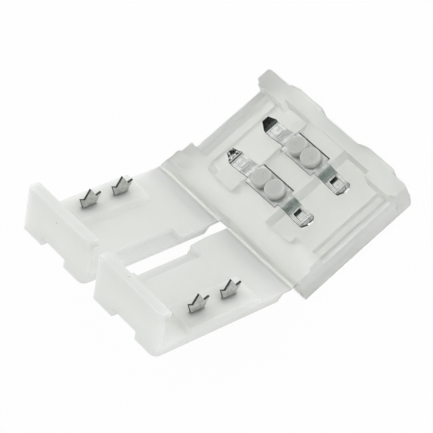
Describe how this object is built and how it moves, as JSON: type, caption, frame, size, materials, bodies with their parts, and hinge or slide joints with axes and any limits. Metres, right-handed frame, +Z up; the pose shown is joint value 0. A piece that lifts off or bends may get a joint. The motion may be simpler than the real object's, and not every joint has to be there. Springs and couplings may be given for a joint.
{
  "type": "led strip connector",
  "caption": "Clip connector for LED strip: a channelled base with sprung contacts, and toothed flaps that hinge over the strip and latch behind its far wall.",
  "frame": {"origin": "middle of the housing's underside, which stands on the ground", "axes": "+X along the strip's channel and the hinge, +Y from the hinge side to the latch side, +Z up"},
  "size_m": [0.0238, 0.0351, 0.0186],
  "materials": {
    "clear_plastic": "natural translucent polypropylene as moulded, satin",
    "tinned_sheet": "bright tinned spring sheet",
    "tooth_steel": "plain stamped steel"
  },
  "bodies": {
    "housing": {"base_housing": "clear_plastic", "contact_near": "tinned_sheet", "contact_far": "tinned_sheet"},
    "left_flap": {"flap_left": "clear_plastic", "flap_left_tooth_1": "tooth_steel", "flap_left_tooth_2": "tooth_steel"},
    "right_flap": {"flap_right": "clear_plastic", "flap_right_tooth_1": "tooth_steel", "flap_right_tooth_2": "tooth_steel"}
  },
  "joints": [
    {"name": "left_flap_hinge", "type": "hinge", "parent": "housing", "child": "left_flap", "pos_m": [-0.0064, -0.00895, 0.0049], "axis": [-1, 0, 0], "range_deg": [-30.2, 149.8]},
    {"name": "right_flap_hinge", "type": "hinge", "parent": "housing", "child": "right_flap", "pos_m": [0.0061, -0.00895, 0.0049], "axis": [-1, 0, 0], "range_deg": [-29.6, 150.4]}
  ]
}
